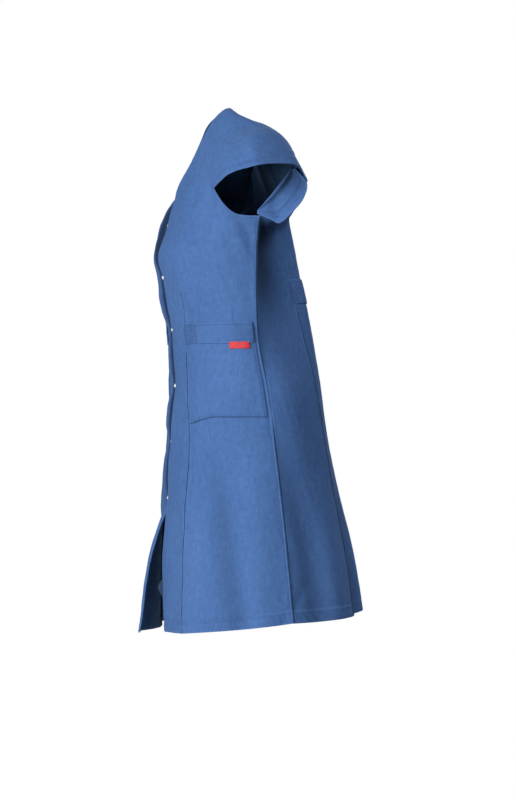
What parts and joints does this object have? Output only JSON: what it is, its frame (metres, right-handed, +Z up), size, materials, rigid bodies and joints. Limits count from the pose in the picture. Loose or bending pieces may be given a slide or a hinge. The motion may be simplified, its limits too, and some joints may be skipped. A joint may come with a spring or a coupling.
{
  "type": "welding apron",
  "caption": "Knee-length coat-style welding apron in blue twill with cap sleeves, lapped press-stud front, flap pockets and half belt.",
  "frame": {"origin": "on the middle plane at the height of the neck-shoulder point, where the garment rests on the wearer's shoulders", "axes": "+Z up, -Y to the wearer's front, +X to the wearer's left"},
  "size_m": [0.5693, 0.4591, 1.0913],
  "materials": {
    "twill": "matte cotton twill",
    "twill_inner": "matte cotton twill, inner side",
    "tape": "matte woven tape",
    "hook_loop": "matte napped tape",
    "tag": "satin woven tag",
    "label": "satin woven label",
    "stud_steel": "bright nickel-plated"
  },
  "bodies": {
    "coat": {"left_front_panel": "twill", "left_side_front_panel": "twill", "left_side_back_panel": "twill", "back_panel": "twill", "right_side_back_panel": "twill", "right_side_front_panel": "twill", "right_front_panel": "twill", "right_front_facing": "twill_inner", "left_cap_sleeve": "twill", "right_cap_sleeve": "twill", "left_sleeve_facing": "twill_inner", "right_sleeve_facing": "twill_inner", "back_neck_facing": "twill_inner", "half_belt": "twill", "left_pocket": "twill", "right_pocket": "twill", "left_pocket_loop_pads": "hook_loop", "right_pocket_loop_pads": "hook_loop", "pocket_tag": "tag", "press_stud_posts": "stud_steel", "press_stud_backs": "stud_steel", "hanger_loop_tacks": "tape", "care_label": "label"},
    "left_front": {"left_front_placket": "twill", "left_front_fly": "twill_inner", "press_stud_sockets": "stud_steel"},
    "left_flap": {"left_pocket_flap": "twill", "left_flap_hook_pads": "hook_loop"},
    "right_flap": {"right_pocket_flap": "twill", "right_flap_hook_pads": "hook_loop"},
    "hanger": {"hanger_loop": "tape"}
  },
  "joints": [
    {"name": "front_opening", "type": "hinge", "parent": "coat", "child": "left_front", "pos_m": [0.057, -0.104, -0.6], "axis": [0, 0, 1], "range_deg": [0, 90]},
    {"name": "left_flap_lift", "type": "hinge", "parent": "coat", "child": "left_flap", "pos_m": [0.1559, -0.0566, -0.446], "axis": [-0.8038, -0.5949, 0], "range_deg": [0, 90]},
    {"name": "right_flap_lift", "type": "hinge", "parent": "coat", "child": "right_flap", "pos_m": [-0.1559, -0.0566, -0.446], "axis": [-0.8038, 0.5949, 0], "range_deg": [0, 90]},
    {"name": "hanger_loop_swing", "type": "hinge", "parent": "coat", "child": "hanger", "pos_m": [0, 0.04, -0.056], "axis": [-1, 0, 0], "range_deg": [0, 150]}
  ]
}
